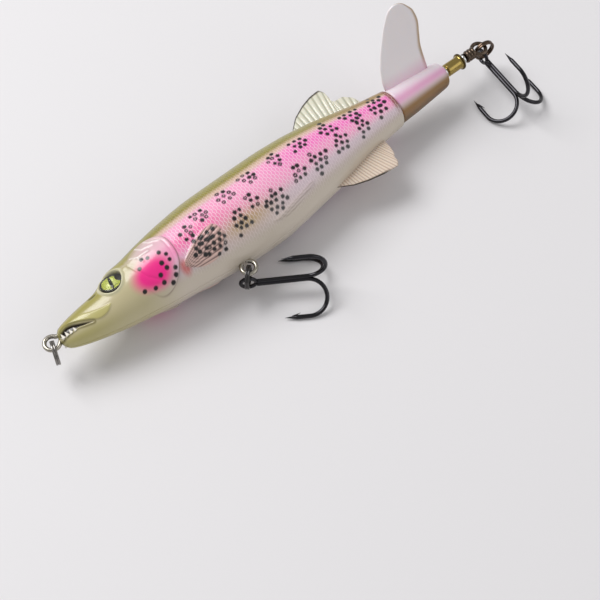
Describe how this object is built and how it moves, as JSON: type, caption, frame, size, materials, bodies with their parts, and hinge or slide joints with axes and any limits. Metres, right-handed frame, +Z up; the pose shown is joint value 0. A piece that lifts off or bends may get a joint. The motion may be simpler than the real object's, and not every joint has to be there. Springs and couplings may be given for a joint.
{
  "type": "rotating-tail topwater fishing lure",
  "caption": "Hard fish-shaped topwater fishing lure with a cupped rotating tail on a wire shaft, glass-like eyes, split rings and treble hooks.",
  "frame": {"origin": "on the table plane, below the middle of the whole lure's bounding box", "axes": "the lure lies on its right side: +X from nose to tail, +Y towards the fish's back, +Z up through its left flank"},
  "size_m": [0.1382, 0.0444, 0.0287],
  "materials": {
    "left_shell": "moulded, painted fish pattern under clear lacquer",
    "right_shell": "moulded, painted fish pattern under clear lacquer",
    "left_eye_foil": "printed foil, yellow-green iris",
    "left_eye_dome": "clear, polished",
    "right_eye_foil": "printed foil, yellow-green iris",
    "right_eye_dome": "clear, polished",
    "line_tie": "drawn wire",
    "belly_hanger": "drawn wire",
    "tail_shaft": "drawn wire",
    "front_ballast": "plain turned steel",
    "rear_ballast": "plain turned steel",
    "rattle_ball": "plain steel ball",
    "front_washer": "plain",
    "rotating_tail": "pearl white, pink and olive, satin",
    "brass_sleeve": "turned",
    "rear_bead": "polished",
    "nose_split_ring": "bright nickel",
    "belly_split_ring": "dark nickel",
    "belly_treble_hook": "black nickel plate",
    "rear_split_ring": "bright nickel",
    "rear_treble_hook": "black nickel plate"
  },
  "bodies": {
    "body": {"left_shell": "left_shell", "right_shell": "right_shell", "left_eye_foil": "left_eye_foil", "left_eye_dome": "left_eye_dome", "right_eye_foil": "right_eye_foil", "right_eye_dome": "right_eye_dome", "line_tie": "line_tie", "belly_hanger": "belly_hanger", "tail_shaft": "tail_shaft", "front_ballast": "front_ballast", "rear_ballast": "rear_ballast"},
    "rattle": {"rattle_ball": "rattle_ball"},
    "washer": {"front_washer": "front_washer"},
    "tail": {"rotating_tail": "rotating_tail", "brass_sleeve": "brass_sleeve", "rear_bead": "rear_bead"},
    "nose_ring": {"nose_split_ring": "nose_split_ring"},
    "belly_ring": {"belly_split_ring": "belly_split_ring"},
    "belly_hook": {"belly_treble_hook": "belly_treble_hook"},
    "rear_ring": {"rear_split_ring": "rear_split_ring"},
    "rear_hook": {"rear_treble_hook": "rear_treble_hook"}
  },
  "joints": [
    {"name": "washer_spin", "type": "hinge", "parent": "body", "child": "washer", "pos_m": [0.02995, 0.00675, 0.009], "axis": [1, 0, 0], "continuous": true},
    {"name": "tail_spin", "type": "hinge", "parent": "body", "child": "tail", "pos_m": [0.03195, 0.00675, 0.009], "axis": [1, 0, 0], "continuous": true},
    {"name": "rattle_roll", "type": "slide", "parent": "body", "child": "rattle", "axis": [1, 0, 0], "range_m": [0, 0.01]},
    {"name": "nose_ring_swing", "type": "hinge", "parent": "body", "child": "nose_ring", "pos_m": [-0.06748, 0.00455, 0.009], "axis": [-0.9397, 0.342, 0], "range_deg": [-10, 90]},
    {"name": "belly_ring_swing", "type": "hinge", "parent": "body", "child": "belly_ring", "pos_m": [-0.0233, -0.0073, 0.009], "axis": [-0.7071, 0.7071, 0], "range_deg": [-10, 90]},
    {"name": "rear_ring_swing", "type": "hinge", "parent": "body", "child": "rear_ring", "pos_m": [0.06222, 0.00646, 0.009], "axis": [-0.1736, -0.9848, 0], "range_deg": [-10, 90]},
    {"name": "belly_hook_swing", "type": "hinge", "parent": "belly_ring", "child": "belly_hook", "pos_m": [-0.0233, -0.0073, 0.00505], "axis": [-0.7071, -0.7071, 0], "range_deg": [-60, 15]},
    {"name": "rear_hook_swing", "type": "hinge", "parent": "rear_ring", "child": "rear_hook", "pos_m": [0.06222, 0.00646, 0.00505], "axis": [0.9848, -0.1736, 0], "range_deg": [-30, 60]}
  ]
}
